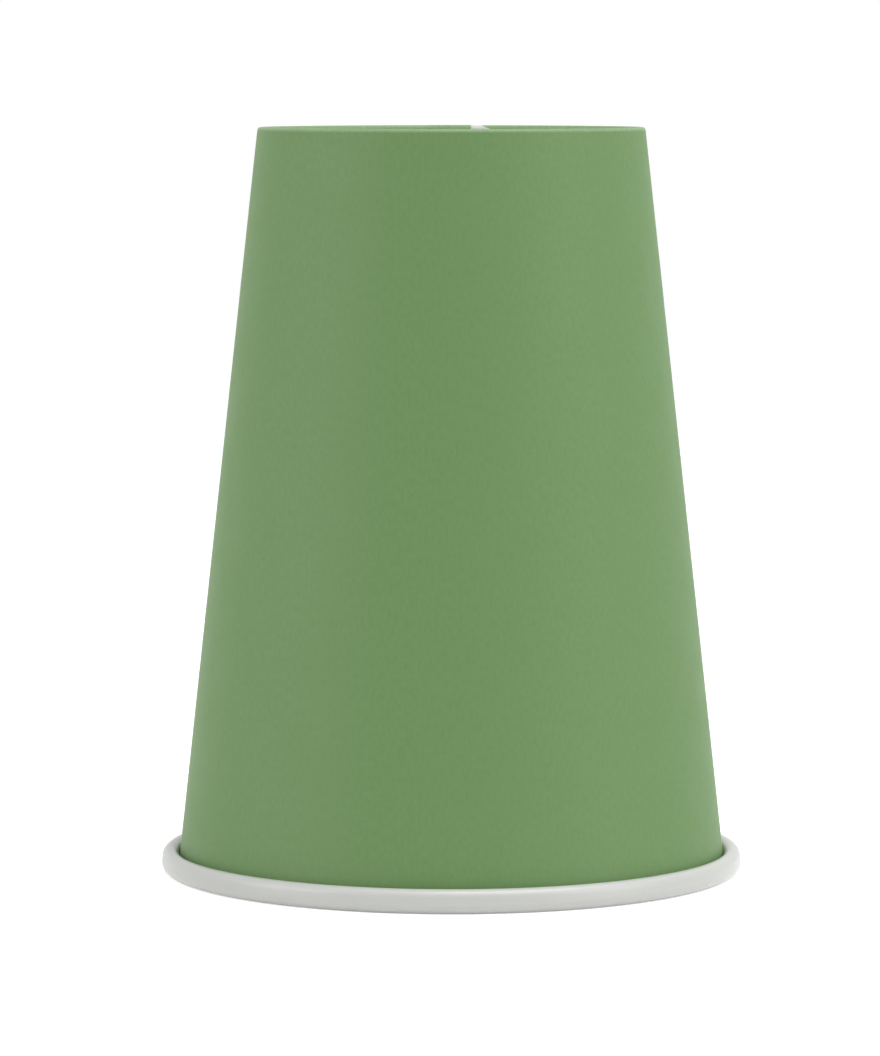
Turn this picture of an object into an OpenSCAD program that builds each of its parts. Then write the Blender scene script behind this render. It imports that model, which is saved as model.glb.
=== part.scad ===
// Single-wall paper cup, standing upside down on its rolled rim.
//
// The side wall is one blank of board. It is wound into a cone with a lap seam, rolled
// outwards at the mouth, and turned inwards at the foot over the flange of the base disc.
// The base disc is a second piece of board, with its edge turned up into that flange.
// The origin is the centre of the plane that the rim stands on, and +Z points to the foot.

/* [Cup] */
// Height from the plane that the rim stands on to the foot's edge
cup_h = 115; // [70:1:160]
// Outside diameter of the wall where its slope meets the plane of the foot's edge
foot_d = 59.6; // [50:0.2:70]
// Outside diameter over the rolled rim
rim_d = 90; // [80:0.5:100]

/* [Board] */
// Thickness of the side wall's board
wall_t = 0.35; // [0.25:0.05:0.45]
// Thickness of the base disc's board
base_t = 0.3; // [0.2:0.05:0.5]
// Clearance between two layers of board that are sealed or rolled together
layer_gap = 0.05; // [0.02:0.01:0.08]
// Depth by which the rim's underside and the foot's edge are pressed flat
press_d = 0.03; // [0.01:0.01:0.05]

/* [Rim] */
// Width of the roll, from the inside of the mouth to the cup's outer edge
roll_w = 3; // [2.6:0.1:4]
// Length of the roll's two straight sides, between its lower and its upper bend
roll_side = 0.9; // [0.3:0.1:2]
// Turn of the board's tucked end inside the roll, after it has come down beside the wall
tuck_angle = 100; // [10:5:140]

/* [Foot] */
// Depth of the recess between the foot's edge and the base disc
recess_h = 8; // [7.5:0.5:14]
// Distance from the hem's cut edge to the level where the base disc starts to bend
hem_clear = 0.9; // [0.2:0.1:3]
// Inside radius of the bend between the base disc and its flange
bend_r = 0.6; // [0.3:0.1:1]
// Distance from the flange's end to the level of the fold's centre
flange_short = 0.2; // [0:0.1:1]

/* [Seam] */
// Direction of the lap's cut edge at the foot, counted from +X about +Z
seam_angle = 84; // [0:1:359]
// Width of the lap
seam_w = 7; // [5:0.5:10]
// Width over which the outer layer climbs onto the inner one
ramp_w = 1.6; // [1:0.1:3]
// Thickness that the lap adds where it is pressed together in the fold and the hem
hem_lap_t = 0.1; // [0.05:0.05:0.2]
// Length of wall over which the lap thins towards the fold
hem_lap_run = 2; // [1:0.5:4]

/* [Hidden] */
$fn = 180;

foot_r = foot_d / 2;
rim_r = rim_d / 2;

// The roll's lower bend, and the tighter upper one that brings the board back down
// beside the wall
roll_r = roll_w / 2;
top_r = roll_r - (wall_t + layer_gap) / 2;
tuck_r = roll_r - wall_t - layer_gap;
roll_at = [rim_r - roll_r, roll_r - press_d];

// The wall's outer face passes the foot's edge, and it lies a board's thickness inside
// the roll's lower bend, which sets the half angle of the cone
foot_to_roll = roll_at - [foot_r, cup_h];
taper = atan2(foot_to_roll[1], foot_to_roll[0]) + acos((roll_r - wall_t) / norm(foot_to_roll));
wall_up = [-sin(taper), cos(taper)];

// The fold wraps the flange, a clearance and the board's own thickness
fold_r = base_t / 2 + layer_gap + wall_t;
fold_z = cup_h + press_d - fold_r;
fold_at = [foot_r + (cup_h - fold_z) * tan(taper) - fold_r / cos(taper), fold_z];
wall_len = (fold_at - roll_at) * wall_up;

// The base disc's upper face, and the centre of the bend up into the flange
disc_z = cup_h - recess_h;
bend_z = disc_z + bend_r;
bend_at = [
    fold_at[0] + (fold_z - bend_z) * tan(taper) - (base_t / 2 + bend_r) / cos(taper),
    bend_z
];
flange_len = (fold_at - bend_at) * wall_up - flange_short;
hem_len = (fold_at - bend_at) * wall_up - hem_clear;

// Direction in which the outer layer has climbed down to the wall's face
ramp_angle = seam_angle + asin(seam_w / foot_r);

// Sector between two directions, wide enough to hold a circle of radius r
module sector(r, from, to) {
    steps = 4;
    polygon(concat(
        [[0, 0]],
        [for (i = [0 : steps]) 2 * r * [
            cos(from + (to - from) * i / steps),
            sin(from + (to - from) * i / steps)
        ]]
    ));
}

// Bend of a board: an arc of thickness t with radius r on its outside
module bend(r, t, from, to) {
    intersection() {
        difference() {
            circle(r);
            circle(r - t);
        }
        sector(r, from, to);
    }
}

// Straight stretch of a board, from the level of a bend's centre
module stretch(x, t, len) {
    translate([x, min(len, 0)])
        square([t, abs(len)]);
}

// The side wall's own frame: Y runs up along the wall, X across it and outwards, and the
// origin is the centre of the roll's lower bend
module in_wall_frame() {
    translate(roll_at)
        rotate(taper)
            children();
}

// The fold's centre in that frame
module at_fold() {
    translate([wall_t - roll_r - fold_r, wall_len])
        children();
}

module wall_section() {
    in_wall_frame() {
        stretch(-roll_r, wall_t, wall_len);
        at_fold() {
            bend(fold_r, wall_t, 0, 180);
            stretch(-fold_r, wall_t, -hem_len);
        }
        bend(roll_r, wall_t, 180, 360);
        stretch(roll_r - wall_t, wall_t, roll_side);
        translate([roll_r - top_r, roll_side])
            bend(top_r, wall_t, 0, 180);
        stretch(-tuck_r, wall_t, roll_side);
        bend(tuck_r, wall_t, 180, 180 + tuck_angle);
    }
}

// Second layer of the lap: it starts halfway into the board and stands out by its own
// thickness on the wall, and by less in the fold and on the hem. It ends inside the roll.
module lap_section() {
    into = wall_t / 2;
    in_wall_frame()
        at_fold() {
            polygon([
                [fold_r - into, 0],
                [fold_r - into, roll_side - wall_len],
                [fold_r + wall_t, roll_side - wall_len],
                [fold_r + wall_t, -hem_lap_run],
                [fold_r + hem_lap_t, 0]
            ]);
            bend(fold_r + hem_lap_t, into + hem_lap_t, 0, 180);
            stretch(-fold_r - hem_lap_t, into + hem_lap_t, -hem_len);
        }
}

// The stretch of the cup's round that the lap takes up, as a bar along the wall
module lap_bar() {
    rotate([0, 0, ramp_angle])
        translate([fold_at[0], 0, fold_at[1]])
            rotate([0, -taper, 0])
                translate([0, 0, -wall_len])
                    linear_extrude(height = wall_len + seam_w)
                        polygon([
                            [-seam_w, 0],
                            [fold_r, 0],
                            [fold_r + wall_t, -ramp_w],
                            [seam_w, -ramp_w],
                            [seam_w, -seam_w],
                            [-seam_w, -seam_w]
                        ]);
}

// Everything between the plane that the rim stands on and the plane of the foot's edge
module pressed_space() {
    cylinder(r = rim_d, h = cup_h);
}

module side_wall() {
    color([0.44, 0.55, 0.37])
        intersection() {
            union() {
                rotate_extrude()
                    wall_section();
                intersection() {
                    rotate_extrude()
                        lap_section();
                    lap_bar();
                }
            }
            pressed_space();
        }
}

module base_disc() {
    color([0.93, 0.92, 0.89])
        rotate_extrude() {
            translate([0, disc_z - base_t])
                square([bend_at[0], base_t]);
            translate(bend_at) {
                bend(bend_r + base_t, base_t, -90, taper);
                rotate(taper)
                    stretch(bend_r, base_t, flange_len);
            }
        }
}

side_wall();
base_disc();
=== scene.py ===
"""Looks of a single-wall paper cup that stands upside down on its rolled rim.

The side wall is a flat blank of board that is wound up: folded into the hem at the foot, rolled
at the mouth, and lapped at the back. The base disc is spun from its section. Sizes repeat those
of the CAD model, in metres, and +Z points from the mouth to the foot.
"""

import cmath
import math
from collections import namedtuple

import bmesh
import bpy
from bpy.props import FloatProperty, FloatVectorProperty, PointerProperty
from bpy.types import Operator, Panel, PropertyGroup
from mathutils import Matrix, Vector, noise


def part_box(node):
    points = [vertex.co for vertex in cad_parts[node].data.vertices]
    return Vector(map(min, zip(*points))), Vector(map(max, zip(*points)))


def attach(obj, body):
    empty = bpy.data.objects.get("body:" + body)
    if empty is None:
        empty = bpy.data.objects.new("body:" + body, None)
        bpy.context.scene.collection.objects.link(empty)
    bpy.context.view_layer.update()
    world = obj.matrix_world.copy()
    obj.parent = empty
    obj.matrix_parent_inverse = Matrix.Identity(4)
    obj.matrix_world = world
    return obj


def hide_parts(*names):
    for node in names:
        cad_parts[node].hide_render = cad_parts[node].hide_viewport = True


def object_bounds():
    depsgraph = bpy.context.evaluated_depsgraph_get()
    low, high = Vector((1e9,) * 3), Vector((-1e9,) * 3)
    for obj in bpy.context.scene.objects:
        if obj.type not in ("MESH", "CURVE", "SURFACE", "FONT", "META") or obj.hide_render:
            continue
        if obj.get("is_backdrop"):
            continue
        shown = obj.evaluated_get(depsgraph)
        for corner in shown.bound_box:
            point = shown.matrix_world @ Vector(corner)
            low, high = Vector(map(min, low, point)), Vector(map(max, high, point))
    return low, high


bl_info = {
    "name": "Paper cup",
    "version": (1, 0, 0),
    "blender": (4, 5, 0),
    "location": "3D View > Sidebar > Paper cup",
    "description": "Winds a paper cup from its blank and sets it in a plain studio",
    "category": "Add Mesh",
}

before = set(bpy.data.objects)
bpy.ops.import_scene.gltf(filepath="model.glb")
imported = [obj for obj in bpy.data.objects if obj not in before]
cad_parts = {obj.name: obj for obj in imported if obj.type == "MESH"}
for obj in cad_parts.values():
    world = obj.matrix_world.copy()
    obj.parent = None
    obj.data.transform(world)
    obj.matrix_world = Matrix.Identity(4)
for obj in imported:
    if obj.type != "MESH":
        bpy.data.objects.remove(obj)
cad_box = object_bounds()

MM = 0.001
CUP_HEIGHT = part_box("side_wall")[1].z
RIM_WIDTH = 2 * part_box("side_wall")[1].x


# Sizes and colours that a user may change


def length(name, default, description):
    """A length in metres, shown in the scene's unit."""
    return FloatProperty(
        name=name, default=default, description=description, unit="LENGTH", min=0.0, precision=5
    )


def angle(name, default, description):
    """An angle that is written in degrees here and held in radians."""
    return FloatProperty(
        name=name, default=math.radians(default), description=description, unit="ROTATION"
    )


def colour(name, default, description):
    """A linear colour."""
    return FloatVectorProperty(
        name=name, default=default, description=description, subtype="COLOR", min=0.0, max=1.0
    )


def share(name, default, description):
    """A plain number from nought up."""
    return FloatProperty(name=name, default=default, description=description, min=0.0)


class CupSizes(PropertyGroup):
    """Sizes of the cup's two boards and of their bends."""

    height: length("Height", CUP_HEIGHT, "From the rim's plane to the foot's edge")
    rim_width: length("Rim width", RIM_WIDTH, "Outside diameter over the rolled rim")
    foot_width: length("Foot width", 59.6 * MM, "Outside diameter of the wall at the foot")
    wall_board: length("Wall board", 0.35 * MM, "Thickness of the side wall's board")
    base_board: length("Base board", 0.3 * MM, "Thickness of the base disc's board")
    layer_gap: length("Layer gap", 0.05 * MM, "Clearance between two layers of board")
    pressed: length("Pressed depth", 0.03 * MM, "Depth by which rim and foot are pressed flat")
    roll_width: length("Roll width", 3 * MM, "From the inside of the mouth to the outer edge")
    roll_side: length("Roll side", 0.9 * MM, "Straight side between the roll's two bends")
    tuck_turn: angle("Tuck turn", 100, "Turn of the board's end inside the roll")
    recess: length("Recess depth", 8 * MM, "From the foot's edge to the base disc")
    hem_clear: length("Hem clearance", 0.9 * MM, "From the hem's cut edge to the base's bend")
    base_bend: length("Base bend", 0.6 * MM, "Inside radius between base disc and flange")
    flange_short: length("Flange shortfall", 0.2 * MM, "From the flange's end to the fold's centre")


class SeamSizes(PropertyGroup):
    """Sizes of the lap seam and of its bare margin."""

    direction: angle("Cut edge", 84, "Direction of the cut edge at the foot, from +X about +Z")
    width: length("Lap width", 7 * MM, "Width of the lap with its ramp")
    ramp: length("Ramp width", 1.6 * MM, "Width over which the outer layer climbs")
    pressed_lap: length("Pressed lap", 0.1 * MM, "What the lap adds in the fold and the hem")
    pressed_run: length("Pressed run", 2 * MM, "Length of wall over which the lap thins there")
    roll_lap: length("Lap in the roll", 0.04 * MM, "What the lap adds inside the roll")
    edge_blend: length("Edge blend", 0.3 * MM, "Width over which a layer yields under the edge")
    margin: length("Bare margin", 1.7 * MM, "Unprinted strip that shows beside the cut edge")
    hem_margin: length("Bare margin in hem", 3.7 * MM, "Width of that strip in the hem")
    widens_from: length("Widening starts", 0.1 * MM, "Past the fold's crest, on the hem's side")
    widens_to: length("Widening ends", 1.0 * MM, "Past the fold's crest, on the hem's side")


class BoardColours(PropertyGroup):
    """Colours of the print and of the boards."""

    print_ink: colour("Print", (0.145, 0.264, 0.095), "Ink on the side wall")
    # Thinned ink at the fold, made lighter still as a painted highlight on the fold's crest
    thinned_ink_and_highlight: colour("Thin print", (0.28, 0.415, 0.222), "Ink where the fold has thinned it")
    lining: colour("Lining", (0.59, 0.595, 0.575), "Inside of the side wall, seen on the roll")
    bare_board: colour("Bare board", (0.67, 0.695, 0.635), "Unprinted face of the board")
    cut_edge: colour("Cut edge", (0.70, 0.68, 0.62), "Raw edge of the board")
    base_disc: colour("Base disc", (0.82, 0.81, 0.775), "Board of the base disc")


class StudioValues(PropertyGroup):
    """Place of the camera and level of the light."""

    focal: share("Focal length", 172.76, "In millimetres, on a sensor 36 mm along its long side")
    camera_side: FloatProperty(
        name="Camera side",
        default=-1.763 * MM,
        description="To the right of the cup's axis",
        unit="LENGTH",
    )
    camera_back: length("Camera distance", 0.781, "From the cup's axis")
    camera_height: length("Camera height", 0.123, "Above the floor")
    camera_pitch: angle("Camera pitch", 5.1131, "Turn of the camera below the horizon")
    sky: share("Sky", 0.25, "Strength of the surrounding light")
    left_power: share("Left lamp", 11.2, "Power of the lamp on the left, in watts")
    right_power: share("Right lamp", 10.4, "Power of the lamp on the right, in watts")
    top_power: share("Top lamp", 15.0, "Power of the lamp above, in watts")


# Geometry of a board in section: the real axis is the distance from the cup's axis, and the
# imaginary one is the height

Run = namedtuple("Run", "length turn steps lap give")
Station = namedtuple("Station", "place side walked lap give")
Column = namedtuple("Column", "turn run")


def walk(place, heading, runs, board, lap=0.0, give=0.0):
    """Follows one face of a board through straight runs and bends, and yields its stations.

    The board's other face lies to the left of the way. walked is measured in mid board.
    """
    walked = 0.0
    yield Station(place, 1j * cmath.exp(1j * heading), walked, lap, give)
    for run in runs:
        turn = run.turn / run.steps
        stride = run.length / run.steps
        if turn:
            stride *= math.sin(turn / 2) / (turn / 2)
        for step in range(1, run.steps + 1):
            place += stride * cmath.exp(1j * (heading + turn / 2))
            heading += turn
            walked += (run.length - run.turn * board / 2) / run.steps
            part = step / run.steps
            yield Station(
                place,
                1j * cmath.exp(1j * heading),
                walked,
                lap + part * (run.lap - lap),
                give + part * (run.give - give),
            )
        lap, give = run.lap, run.give


def straight(reach, steps, lap=0.0, give=0.0):
    """A straight stretch of board."""
    return Run(reach, 0.0, steps, lap, give)


def bend(radius, turn, steps, lap=0.0, give=0.0):
    """A bend, whose turn is counted to the left."""
    return Run(radius * abs(turn), turn, steps, lap, give)


def smooth(x):
    """Rises from 0 to 1 without a corner."""
    x = min(max(x, 0.0), 1.0)
    return x * x * (3 - 2 * x)


def mix(a, b, part):
    """What lies between a and b."""
    return a + (b - a) * part


class CupLayout:
    """Places in the cup's section that follow from its sizes."""

    def __init__(self, cup):
        board = cup.wall_board
        self.roll_radius = cup.roll_width / 2
        self.top_radius = self.roll_radius - (board + cup.layer_gap) / 2
        self.tuck_radius = self.roll_radius - board - cup.layer_gap
        self.roll_centre = complex(
            cup.rim_width / 2 - self.roll_radius, self.roll_radius - cup.pressed
        )
        foot = complex(cup.foot_width / 2, cup.height)
        slope = self.roll_centre - foot
        self.taper = cmath.phase(slope) + math.acos((self.roll_radius - board) / abs(slope))
        self.turned = cmath.exp(1j * self.taper)
        self.fold_radius = cup.base_board / 2 + cup.layer_gap + board
        fold_height = cup.height + cup.pressed - self.fold_radius
        drop = cup.height - fold_height
        self.fold_centre = complex(
            foot.real + drop * math.tan(self.taper) - self.fold_radius / math.cos(self.taper),
            fold_height,
        )
        self.wall_length = self.along_wall(self.fold_centre - self.roll_centre)
        self.disc_height = cup.height - cup.recess
        bend_height = self.disc_height + cup.base_bend
        self.bend_centre = complex(
            self.fold_centre.real
            + (fold_height - bend_height) * math.tan(self.taper)
            - (cup.base_board / 2 + cup.base_bend) / math.cos(self.taper),
            bend_height,
        )
        fold_to_bend = self.along_wall(self.fold_centre - self.bend_centre)
        self.flange_length = fold_to_bend - cup.flange_short
        self.hem_length = fold_to_bend - cup.hem_clear

    def along_wall(self, way):
        """Length of a way, measured along the wall."""
        return (way / self.turned).imag

    def in_section(self, x, y):
        """A place given in the wall's own frame, with y up along it from the roll's centre."""
        return self.roll_centre + complex(x, y) * self.turned


# Side wall

# Length of wall over which the lap thins towards the roll
THINNING = 3 * MM
# Distance from the cut edge at which the columns become even
CLEAR_OF_SEAM = 3 * MM
# How far the board yields at most, towards its printed side or, below nought, its lining
START_GIVE = -0.02 * MM
HEM_GIVE = -0.03 * MM
CREST_GIVE = -0.075 * MM
FOLD_GIVE = -0.04 * MM
WALL_GIVE = -0.03 * MM
ROLL_GIVE = 0.03 * MM
# Length of the slow and of the quick waves in which it yields
SLOW_WAVE = 26 * MM
QUICK_WAVE = 8 * MM
# Steps into which the board is divided along its section
HEM_STEPS = 5
HALF_FOLD_STEPS = 7
THINNING_STEPS = 4
WALL_STEPS = 46
ROLL_STEPS = 20
TOP_STEPS = 18
TUCK_STEPS = 10
# Steps into which the blank is divided round the cup, over the lap's ramp, over the rest
# of the lap and beside its cut edge
ROUND_STEPS = 290
RAMP_STEPS = 6
LAP_STEPS = 6
CLEAR_STEPS = 4


def wall_stations(cup, seam, layout):
    """Stations along the lining face, from the hem's cut edge to the end inside the roll."""
    board = cup.wall_board
    hem_lap = board + seam.pressed_lap
    wall_lap = 2 * board
    roll_lap = board + seam.roll_lap
    inner_fold = layout.fold_radius - board
    start = layout.in_section(
        board - layout.roll_radius - layout.fold_radius - inner_fold,
        layout.wall_length - layout.hem_length,
    )
    plain = layout.wall_length - seam.pressed_run - THINNING - cup.roll_side
    quarter = math.pi / 2
    runs = [
        straight(layout.hem_length, HEM_STEPS, hem_lap, HEM_GIVE),
        bend(inner_fold, -quarter, HALF_FOLD_STEPS, hem_lap, CREST_GIVE),
        bend(inner_fold, -quarter, HALF_FOLD_STEPS, hem_lap, FOLD_GIVE),
        straight(seam.pressed_run, THINNING_STEPS, wall_lap, WALL_GIVE),
        straight(plain, WALL_STEPS, wall_lap, WALL_GIVE),
        straight(THINNING, THINNING_STEPS, roll_lap),
        straight(cup.roll_side, 1, roll_lap),
        bend(layout.roll_radius, 2 * quarter, ROLL_STEPS, roll_lap, ROLL_GIVE),
        straight(cup.roll_side, 1, roll_lap, ROLL_GIVE),
        bend(layout.top_radius, 2 * quarter, TOP_STEPS, roll_lap),
        straight(cup.roll_side, 1, roll_lap),
        bend(layout.tuck_radius, cup.tuck_turn, TUCK_STEPS, roll_lap),
    ]
    heading = quarter + layout.taper
    return list(walk(start, heading, runs, board, hem_lap, START_GIVE))


def wall_columns(seam):
    """Columns of the blank, from the inner end of the lap once round to the outer end."""
    under_edge = seam.width - seam.edge_blend
    even_from = seam.width + CLEAR_OF_SEAM
    across = [mix(seam.ramp, under_edge, step / LAP_STEPS) for step in range(LAP_STEPS + 1)]
    beside = [mix(seam.width, even_from, step / CLEAR_STEPS) for step in range(CLEAR_STEPS)]
    climb = [seam.ramp * step / RAMP_STEPS for step in range(1, RAMP_STEPS)]
    columns = [Column(0.0, run) for run in across + beside]
    for step in range(ROUND_STEPS + 1):
        turn = step / ROUND_STEPS
        columns.append(Column(turn, even_from * (1 - turn)))
    return columns + [Column(1.0, run) for run in climb + across + [seam.width]]


def layer_faces(column, lap, board, seam):
    """Distances of the lining and of the printed face from the mandrel that it was wound on."""
    tip = smooth((column.run - seam.width + seam.edge_blend) / seam.edge_blend)
    if column.turn == 0.0:
        return 0.0, mix(lap / 2, board, tip)
    if column.turn == 1.0:
        climbed = smooth(column.run / seam.ramp)
        return mix(climbed * lap / 2, board, tip), mix(board, lap, climbed)
    return 0.0, board


def unevenness(place):
    """Share of its give by which the board yields at a place: slow and quick waves below 1."""
    slow = noise.noise(place / SLOW_WAVE)
    quick = noise.noise(place / QUICK_WAVE + Vector((9.0, 4.0, 2.0)))
    return min(0.8 + 0.25 * slow + 0.05 * quick, 1.0)


def direction(station, column, cup, seam):
    """Direction from the cup's axis in which a column lies at a station."""
    start = seam.direction + math.asin(seam.width / (cup.foot_width / 2))
    return start - math.tau * column.turn - math.asin(column.run / station.place.real)


def in_space(place, azimuth):
    """Place in space of a place in the section that lies in a direction."""
    return Vector((place.real * math.cos(azimuth), place.real * math.sin(azimuth), place.imag))


def wind(station, column, printed, cup, seam):
    """Place in space of one point of the blank."""
    azimuth = direction(station, column, cup, seam)
    faces = layer_faces(column, station.lap, cup.wall_board, seam)
    rise = faces[printed] + station.give * unevenness(in_space(station.place, azimuth))
    place = station.place + rise * station.side
    return in_space(complex(place.real, min(max(place.imag, 0.0), cup.height)), azimuth)


def flat_place(station, column, cup, seam, layout, crest):
    """Place of that point on the flat blank, with its middle line upright."""
    azimuth = direction(station, column, cup, seam)
    middle = -math.pi / 2
    apex_to_crest = layout.fold_centre.real / math.sin(layout.taper)
    reach = apex_to_crest + station.walked - crest
    swing = (azimuth - middle) * math.sin(layout.taper)
    return reach * math.sin(swing), reach * math.cos(swing) - apex_to_crest


def build_side_wall(cup, seam, name):
    """Winds the side wall from a flat blank, and returns its object."""
    layout = CupLayout(cup)
    stations = wall_stations(cup, seam, layout)
    columns = wall_columns(seam)
    crest = stations[HEM_STEPS + HALF_FOLD_STEPS].walked
    mesh = bmesh.new()
    bmesh.ops.create_grid(
        mesh, x_segments=len(columns) - 1, y_segments=len(stations) - 1, size=0.5
    )
    raised = bmesh.ops.extrude_face_region(mesh, geom=mesh.faces[:])["geom"]
    bmesh.ops.translate(
        mesh, verts=[e for e in raised if isinstance(e, bmesh.types.BMVert)], vec=(0, 0, 1)
    )

    def mark(vert):
        column = columns[round((vert.co.x + 0.5) * (len(columns) - 1))]
        station = stations[round((vert.co.y + 0.5) * (len(stations) - 1))]
        return station, column, round(vert.co.z)

    blank_map = mesh.loops.layers.uv.new("blank")
    lap_map = mesh.loops.layers.uv.new("lap")
    for face in mesh.faces:
        face.smooth = True
        sides = {round(v.co.z) for v in face.verts}
        face.material_index = {frozenset((1,)): 0, frozenset((0,)): 1}.get(frozenset(sides), 2)
        for loop in face.loops:
            station, column, _ = mark(loop.vert)
            loop[blank_map].uv = flat_place(station, column, cup, seam, layout, crest)
            around = column.run + column.turn * math.tau * station.place.real
            loop[lap_map].uv = (around, crest - station.walked)
    for edge in mesh.edges:
        edge.smooth = len({f.material_index for f in edge.link_faces}) == 1
    for vert in mesh.verts:
        vert.co = wind(*mark(vert), cup, seam)
    mesh.normal_update()
    return as_object(mesh, name)


def as_object(mesh, name):
    """Turns a bmesh into an object at the origin."""
    data = bpy.data.meshes.new(name)
    mesh.to_mesh(data)
    mesh.free()
    made = bpy.data.objects.new(name, data)
    bpy.context.scene.collection.objects.link(made)
    return made


# Base disc

# How far its middle dips, and how many pleats its edge is gathered into, and how deep
BASE_DIP = 0.15 * MM
BASE_PLEATS = 72
PLEAT_DEPTH = 0.03 * MM
# Length of the waves in which the pleats' places and depths vary
PLEAT_SHIFT = 9 * MM
PLEAT_CHANGE = 5 * MM
# Width of the disc's outer part that is gathered
GATHERED = 3 * MM
# Steps into which its section and its round are divided
DISC_STEPS = 12
EDGE_STEPS = 8
BEND_STEPS = 10
FLANGE_STEPS = 5
SPIN_STEPS = 288


def base_stations(cup, layout):
    """Stations along the base's upper face, from its middle out and up the flange."""
    rise = math.pi / 2 + layout.taper
    edge = GATHERED + 2 * MM
    runs = [
        straight(layout.bend_centre.real - edge, DISC_STEPS),
        straight(edge, EDGE_STEPS),
        bend(cup.base_bend, rise, BEND_STEPS),
        straight(layout.flange_length, FLANGE_STEPS),
    ]
    return list(walk(complex(0.0, layout.disc_height), 0.0, runs, cup.base_board))


def settle_base(place, cup, layout):
    """Dips the disc slightly and crimps it into pleats as far as the bend."""
    rho = math.hypot(place.x, place.y)
    azimuth = math.atan2(place.y, place.x)
    reach = layout.bend_centre.real
    dip = BASE_DIP * max(0.0, 1 - (rho / reach) ** 2)
    gather = smooth((rho - reach + GATHERED) / (GATHERED + 0.5 * MM))
    wave = math.sin(BASE_PLEATS * azimuth + 2 * noise.noise(place / PLEAT_SHIFT))
    crimp = PLEAT_DEPTH * gather * wave * (0.6 + 0.4 * noise.noise(place / PLEAT_CHANGE))
    lift = place.z - layout.disc_height
    flat = 1 - smooth(lift / cup.base_bend)
    return place + Vector((0.0, 0.0, crimp * flat - dip))


def build_base_disc(cup, name):
    """Spins the base disc from its section, and returns its object."""
    layout = CupLayout(cup)
    stations = base_stations(cup, layout)
    upper = [s.place for s in stations]
    lower = [s.place - cup.base_board * s.side for s in reversed(stations)]
    mesh = bmesh.new()
    chain = [mesh.verts.new((p.real, 0.0, p.imag)) for p in upper + lower]
    for start, end in zip(chain, chain[1:]):
        mesh.edges.new((start, end))
    bmesh.ops.spin(
        mesh,
        geom=mesh.verts[:] + mesh.edges[:],
        cent=(0, 0, 0),
        axis=(0, 0, 1),
        dvec=(0, 0, 0),
        angle=math.tau,
        steps=SPIN_STEPS,
        use_merge=True,
        use_duplicate=False,
    )
    bmesh.ops.remove_doubles(mesh, verts=mesh.verts[:], dist=0.002 * MM)
    bmesh.ops.recalc_face_normals(mesh, faces=mesh.faces[:])
    for face in mesh.faces:
        face.smooth = True
    for vert in mesh.verts:
        vert.co = settle_base(vert.co, cup, layout)
    mesh.normal_update()
    return as_object(mesh, name)


# Materials

# Sizes of the board's tooth and of its mottle
TOOTH = 0.25 * MM
MOTTLE = 7 * MM
# Where the fold has thinned the print and a painted highlight lightens its crest, past the crest on
# the hem's side, and by what share
RUB_AND_HIGHLIGHT_STARTS = (-0.75 * MM, -0.45 * MM)
RUB_AND_HIGHLIGHT_ENDS = (1.0 * MM, 2.5 * MM)
RUB_AND_HIGHLIGHT_SHARE = 0.69
# Half the width over which the print ends
PRINT_END = 0.04 * MM


def add_node(tree, kind, inputs=None, **settings):
    """Adds a node. An input that is given another node's socket is linked to it."""
    made = tree.nodes.new(kind)
    for name, value in settings.items():
        setattr(made, name, value)
    for name, value in (inputs or {}).items():
        if isinstance(value, bpy.types.NodeSocket):
            tree.links.new(value, made.inputs[name])
        else:
            made.inputs[name].default_value = value
    return made


def math_node(tree, operation, first, second):
    """Puts out the result of a sum of two values."""
    return add_node(tree, "ShaderNodeMath", {0: first, 1: second}, operation=operation).outputs[0]


def ranged(tree, value, low, high, to_low=0.0, to_high=1.0, steady=False):
    """Puts out value moved from one range to another."""
    inputs = {"Value": value, 1: low, 2: high, 3: to_low, 4: to_high}
    kind = "SMOOTHSTEP" if steady else "LINEAR"
    return add_node(tree, "ShaderNodeMapRange", inputs, interpolation_type=kind).outputs[0]


def blended(tree, factor, first, second):
    """Puts out a colour between two."""
    made = add_node(tree, "ShaderNodeMix", data_type="RGBA")
    for index, value in ((0, factor), (6, first), (7, second)):
        if isinstance(value, bpy.types.NodeSocket):
            tree.links.new(value, made.inputs[index])
        else:
            made.inputs[index].default_value = value
    return made.outputs[2]


def spread(tree, fac, to_low=0.0, to_high=1.0):
    """Puts out a noise's usual span moved to another range."""
    return ranged(tree, fac, 0.3, 0.7, to_low, to_high)


def tinted(rgb, factor=1.0):
    """A colour with alpha, made darker or lighter."""
    return (rgb[0] * factor, rgb[1] * factor, rgb[2] * factor, 1.0)


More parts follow.
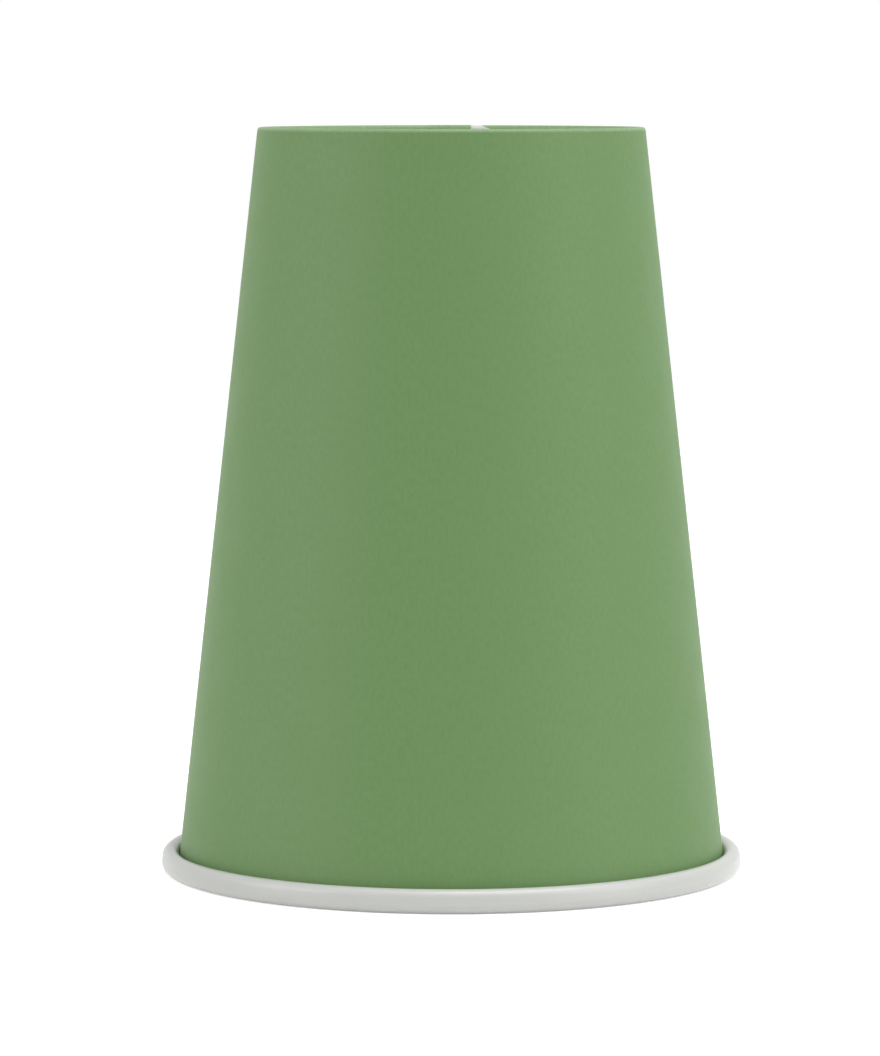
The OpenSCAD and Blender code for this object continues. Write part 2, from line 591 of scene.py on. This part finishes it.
def board_grain():
    """Group that makes the fibres, the mottle and the relief of pressed board."""
    known = bpy.data.node_groups.get("board grain")
    if known:
        return known
    group = bpy.data.node_groups.new("board grain", "ShaderNodeTree")
    face = group.interface
    face.new_socket("Place", in_out="INPUT", socket_type="NodeSocketVector")
    for name, default in (("Fibre width", 0.2 * MM), ("Fibre length", 3 * MM)):
        face.new_socket(name, in_out="INPUT", socket_type="NodeSocketFloat").default_value = default
    for name in ("Fibres", "Mottle", "Height"):
        face.new_socket(name, in_out="OUTPUT", socket_type="NodeSocketFloat")
    given = add_node(group, "NodeGroupInput")
    made = add_node(group, "NodeGroupOutput")
    across = math_node(group, "DIVIDE", 1.0, given.outputs["Fibre width"])
    along = math_node(group, "DIVIDE", 1.0, given.outputs["Fibre length"])
    scale = add_node(group, "ShaderNodeCombineXYZ", {"X": across, "Y": along, "Z": across})
    stretched = add_node(
        group,
        "ShaderNodeVectorMath",
        {0: given.outputs["Place"], 1: scale.outputs[0]},
        operation="MULTIPLY",
    )
    fibres = add_node(
        group,
        "ShaderNodeTexNoise",
        {"Vector": stretched.outputs[0], "Scale": 1.0, "Detail": 2.5, "Distortion": 0.3},
    )
    tooth = add_node(
        group,
        "ShaderNodeTexNoise",
        {"Vector": given.outputs["Place"], "Scale": 1 / TOOTH, "Detail": 3.0},
    )
    mottle = add_node(
        group,
        "ShaderNodeTexNoise",
        {"Vector": given.outputs["Place"], "Scale": 1 / MOTTLE, "Detail": 3.0},
    )
    fibre_height = math_node(group, "MULTIPLY", fibres.outputs["Fac"], 0.6)
    tooth_height = math_node(group, "MULTIPLY", tooth.outputs["Fac"], 0.4)
    height = math_node(group, "ADD", fibre_height, tooth_height)
    group.links.new(fibres.outputs["Fac"], made.inputs["Fibres"])
    group.links.new(mottle.outputs["Fac"], made.inputs["Mottle"])
    group.links.new(height, made.inputs["Height"])
    return group


def new_material(name):
    """An empty material, with its node tree, its shader and its output."""
    made = bpy.data.materials.new(name)
    made.use_nodes = True
    tree = made.node_tree
    tree.nodes.clear()
    shader = add_node(tree, "ShaderNodeBsdfPrincipled")
    add_node(tree, "ShaderNodeOutputMaterial", {"Surface": shader.outputs[0]})
    return made, tree, shader


def add_grain(tree, place, width, run):
    """Places the grain group in a material."""
    made = add_node(tree, "ShaderNodeGroup", node_tree=board_grain())
    tree.links.new(place, made.inputs["Place"])
    made.inputs["Fibre width"].default_value = width
    made.inputs["Fibre length"].default_value = run
    return made


def varied(tree, fac, rgb, darker, lighter):
    """Puts out a colour that varies with a noise."""
    return blended(tree, spread(tree, fac), tinted(rgb, darker), tinted(rgb, lighter))


def feed(tree, shader, **values):
    """Links values to the shader's inputs, with an underscore for a space in their names."""
    for name, value in values.items():
        tree.links.new(value, shader.inputs[name.replace("_", " ")])


def raise_relief(tree, shader, grain, depth):
    """Feeds the grain's height through a bump into the shader."""
    height = grain.outputs["Height"]
    relief = add_node(tree, "ShaderNodeBump", {"Height": height, "Distance": depth})
    feed(tree, shader, Normal=relief.outputs[0])


def printed_material(colours, seam):
    """Satin print on the board's outer face, with the bare margin beside the lap's edge."""
    made, tree, shader = new_material("printed board")
    blank = add_node(tree, "ShaderNodeUVMap", uv_map="blank")
    lap = add_node(tree, "ShaderNodeUVMap", uv_map="lap")
    grain = add_grain(tree, blank.outputs[0], 0.5 * MM, 1.1 * MM)
    apart = add_node(tree, "ShaderNodeSeparateXYZ", {0: lap.outputs[0]})
    around, past_crest = apart.outputs["X"], apart.outputs["Y"]

    fibres = grain.outputs["Fibres"]
    ink = varied(tree, fibres, colours.print_ink, 0.956, 1.044)
    # Lighter ink round the fold's crest: thinned print, and partly a painted highlight of the crest
    rub_and_highlight_starts = ranged(tree, past_crest, *RUB_AND_HIGHLIGHT_STARTS, 0.0, RUB_AND_HIGHLIGHT_SHARE, steady=True)
    rub_and_highlight_ends = ranged(tree, past_crest, *RUB_AND_HIGHLIGHT_ENDS, 1.0, 0.0, steady=True)
    rub_and_highlight = math_node(tree, "MULTIPLY", rub_and_highlight_starts, rub_and_highlight_ends)
    rub_and_highlight = math_node(tree, "MULTIPLY", rub_and_highlight, spread(tree, fibres, 0.75, 1.15))
    ink = blended(tree, rub_and_highlight, ink, tinted(colours.thinned_ink_and_highlight))

    widening = seam.hem_margin - seam.margin
    wider = ranged(
        tree, past_crest, seam.widens_from, seam.widens_to, 0.0, widening, steady=True
    )
    past = math_node(tree, "SUBTRACT", around, wider)
    end = seam.width + seam.margin
    inked = ranged(tree, past, end - PRINT_END, end + PRINT_END, steady=True)
    feed(
        tree,
        shader,
        Base_Color=blended(tree, inked, tinted(colours.bare_board), ink),
        Roughness=spread(tree, grain.outputs["Mottle"], 0.52, 0.58),
    )
    shader.inputs["Specular IOR Level"].default_value = 0.38
    raise_relief(tree, shader, grain, 0.012 * MM)
    return made


def lining_material(colours):
    """Coated white face on the inside of the wall, which shows on the roll."""
    made, tree, shader = new_material("board lining")
    blank = add_node(tree, "ShaderNodeUVMap", uv_map="blank")
    grain = add_grain(tree, blank.outputs[0], 0.3 * MM, 2 * MM)
    feed(
        tree,
        shader,
        Base_Color=varied(tree, grain.outputs["Mottle"], colours.lining, 0.985, 1.01),
        Roughness=spread(tree, grain.outputs["Fibres"], 0.28, 0.34),
    )
    raise_relief(tree, shader, grain, 0.008 * MM)
    return made


def cut_edge_material(colours):
    """Raw, fibrous edge where the blank was cut."""
    made, tree, shader = new_material("cut board edge")
    place = add_node(tree, "ShaderNodeTexCoord").outputs["Object"]
    grain = add_grain(tree, place, 0.08 * MM, 0.5 * MM)
    fibres = grain.outputs["Fibres"]
    feed(tree, shader, Base_Color=varied(tree, fibres, colours.cut_edge, 0.9, 1.08))
    shader.inputs["Roughness"].default_value = 0.85
    raise_relief(tree, shader, grain, 0.02 * MM)
    return made


def base_material(colours):
    """Plain uncoated board of the base disc."""
    made, tree, shader = new_material("plain board")
    place = add_node(tree, "ShaderNodeTexCoord").outputs["Object"]
    grain = add_grain(tree, place, 0.25 * MM, 2.5 * MM)
    feed(
        tree,
        shader,
        Base_Color=varied(tree, grain.outputs["Mottle"], colours.base_disc, 0.975, 1.01),
        Roughness=spread(tree, grain.outputs["Fibres"], 0.62, 0.72),
    )
    raise_relief(tree, shader, grain, 0.015 * MM)
    return made


# Studio

# From the cup's axis to the floor's nearest edge, past which the surroundings show
FLOOR_REACH = 2.0
# Distances from the axis that are close to the cup and beside it
CLOSE = 0.06
BESIDE = 0.2
# Strength of the floor's glow close to the cup, beside it and at the floor's edge; the stronger
# glow close to the cup is painted light that lightens the cup's shadow on the floor
CLOSE_GLOW = 0.6
BESIDE_GLOW = 0.4
FAR_GLOW = 0.72
FLOOR_PAPER = (0.90, 0.90, 0.90, 1.0)
# What the lamps face, and each lamp's name, place, width and the value that holds its power
LAMP_TARGET = Vector((0.0, 0.0, 0.06))
LAMPS = (
    ("left_lamp", Vector((-1.5, -0.5, 0.7)), 1.2, "left_power"),
    ("right_lamp", Vector((1.5, -0.7, 0.7)), 1.2, "right_power"),
    ("top_lamp", Vector((0.35, -0.2, 1.45)), 1.1, "top_power"),
)


def shown_white(tree):
    """Puts out 1 for rays that show the surroundings, and 0 for those that only light."""
    path = add_node(tree, "ShaderNodeLightPath")
    mirrored = math_node(
        tree, "MAXIMUM", path.outputs["Is Glossy Ray"], path.outputs["Is Transmission Ray"]
    )
    return math_node(tree, "MAXIMUM", path.outputs["Is Camera Ray"], mirrored)


def floor_material():
    """White paper that shows as white, with a glow that makes up for the lamps' falling light, and
    a stronger glow close to the cup that is painted light over the cup's shadow.
    """
    made = bpy.data.materials.new("white floor")
    made.use_nodes = True
    tree = made.node_tree
    tree.nodes.clear()
    paper = add_node(tree, "ShaderNodeBsdfDiffuse", {"Color": FLOOR_PAPER})
    place = add_node(tree, "ShaderNodeTexCoord").outputs["Object"]
    away = add_node(tree, "ShaderNodeVectorMath", {0: place}, operation="LENGTH").outputs["Value"]
    near = ranged(tree, away, CLOSE, BESIDE, CLOSE_GLOW, BESIDE_GLOW)
    far = ranged(tree, away, BESIDE, FLOOR_REACH, BESIDE_GLOW, FAR_GLOW)
    level = math_node(tree, "MAXIMUM", near, far)
    strength = math_node(tree, "MULTIPLY", shown_white(tree), level)
    glow = add_node(tree, "ShaderNodeEmission", {"Strength": strength})
    both = add_node(tree, "ShaderNodeAddShader", {0: paper.outputs[0], 1: glow.outputs[0]})
    add_node(tree, "ShaderNodeOutputMaterial", {"Surface": both.outputs[0]})
    return made


def set_sky(strength):
    """White surroundings that light the cup at the given strength."""
    world = bpy.data.worlds.new("white surroundings")
    world.use_nodes = True
    tree = world.node_tree
    tree.nodes.clear()
    level = ranged(tree, shown_white(tree), 0.0, 1.0, strength, 1.0)
    sky = add_node(
        tree, "ShaderNodeBackground", {"Color": (1.0, 1.0, 1.0, 1.0), "Strength": level}
    )
    add_node(tree, "ShaderNodeOutputWorld", {"Surface": sky.outputs[0]})
    bpy.context.scene.world = world


def add_lamp(name, place, size, power):
    """A square soft lamp that faces the cup."""
    data = bpy.data.lights.new(name, "AREA")
    data.shape = "SQUARE"
    data.size = size
    data.energy = power
    lamp = bpy.data.objects.new(name, data)
    lamp.location = place
    lamp.rotation_euler = (LAMP_TARGET - place).to_track_quat("-Z", "Y").to_euler()
    bpy.context.scene.collection.objects.link(lamp)


def add_camera(studio):
    """The camera, at the photograph's place."""
    data = bpy.data.cameras.new("camera")
    data.lens = studio.focal
    data.sensor_width = 36.0
    data.clip_start = 0.05
    data.clip_end = 50.0
    camera = bpy.data.objects.new("camera", data)
    camera.location = (studio.camera_side, -studio.camera_back, studio.camera_height)
    camera.rotation_euler = (math.pi / 2 - studio.camera_pitch, 0.0, 0.0)
    bpy.context.scene.collection.objects.link(camera)
    bpy.context.scene.camera = camera


def add_floor():
    """A wide plane that the rim stands on."""
    mesh = bmesh.new()
    bmesh.ops.create_grid(mesh, x_segments=1, y_segments=1, size=FLOOR_REACH)
    floor = as_object(mesh, "studio_floor")
    floor.data.materials.append(floor_material())
    floor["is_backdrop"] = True


# Operators and the panel


class PAPERCUP_OT_side_wall(Operator):
    """Wind the side wall from its printed blank, with hem, rolled rim and lap seam"""

    bl_idname = "paper_cup.side_wall"
    bl_label = "Side wall"

    def execute(self, context):
        scene = context.scene
        colours = scene.board_colours
        wall = build_side_wall(scene.cup_sizes, scene.seam_sizes, "wound_side_wall")
        wall.data.materials.append(printed_material(colours, scene.seam_sizes))
        wall.data.materials.append(lining_material(colours))
        wall.data.materials.append(cut_edge_material(colours))
        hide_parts("side_wall")
        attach(wall, "root")
        return {"FINISHED"}


class PAPERCUP_OT_base_disc(Operator):
    """Form the base disc, with its flange between the wall and the hem"""

    bl_idname = "paper_cup.base_disc"
    bl_label = "Base disc"

    def execute(self, context):
        scene = context.scene
        base = build_base_disc(scene.cup_sizes, "formed_base_disc")
        base.data.materials.append(base_material(scene.board_colours))
        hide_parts("base_disc")
        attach(base, "root")
        return {"FINISHED"}


class PAPERCUP_OT_studio(Operator):
    """Set the floor, the surroundings, the soft lamps and the camera"""

    bl_idname = "paper_cup.studio"
    bl_label = "Studio"

    def execute(self, context):
        studio = context.scene.studio_values
        add_floor()
        set_sky(studio.sky)
        for name, place, size, power in LAMPS:
            add_lamp(name, place, size, getattr(studio, power))
        add_camera(studio)
        context.scene.view_settings.view_transform = "Standard"
        return {"FINISHED"}


class PAPERCUP_PT_sidebar(Panel):
    """Steps of the paper cup, in their order"""

    bl_label = "Paper cup"
    bl_idname = "PAPERCUP_PT_sidebar"
    bl_space_type = "VIEW_3D"
    bl_region_type = "UI"
    bl_category = "Paper cup"

    def draw(self, context):
        for step in STEPS:
            self.layout.operator(step.bl_idname)


GROUPS = {
    "cup_sizes": CupSizes,
    "seam_sizes": SeamSizes,
    "board_colours": BoardColours,
    "studio_values": StudioValues,
}
STEPS = (PAPERCUP_OT_side_wall, PAPERCUP_OT_base_disc, PAPERCUP_OT_studio)
CLASSES = (*GROUPS.values(), *STEPS, PAPERCUP_PT_sidebar)


def register():
    """Registers the classes and hangs their values on the scene."""
    for each in CLASSES:
        bpy.utils.register_class(each)
    for name, group in GROUPS.items():
        setattr(bpy.types.Scene, name, PointerProperty(type=group))


def unregister():
    """Takes the values and the classes away again."""
    for name in GROUPS:
        delattr(bpy.types.Scene, name)
    for each in reversed(CLASSES):
        bpy.utils.unregister_class(each)


def write_sizes():
    """Gathers the CAD model's box and the visual model's box as plain lists."""
    boxes = {"cad": cad_box, "visual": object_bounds()}
    plain = {name: [list(corner) for corner in box] for name, box in boxes.items()}


def main():
    """Builds the cup and its studio."""
    register()
    bpy.ops.paper_cup.side_wall()
    bpy.ops.paper_cup.base_disc()
    bpy.ops.paper_cup.studio()
    write_sizes()


if __name__ == "__main__":
    main()
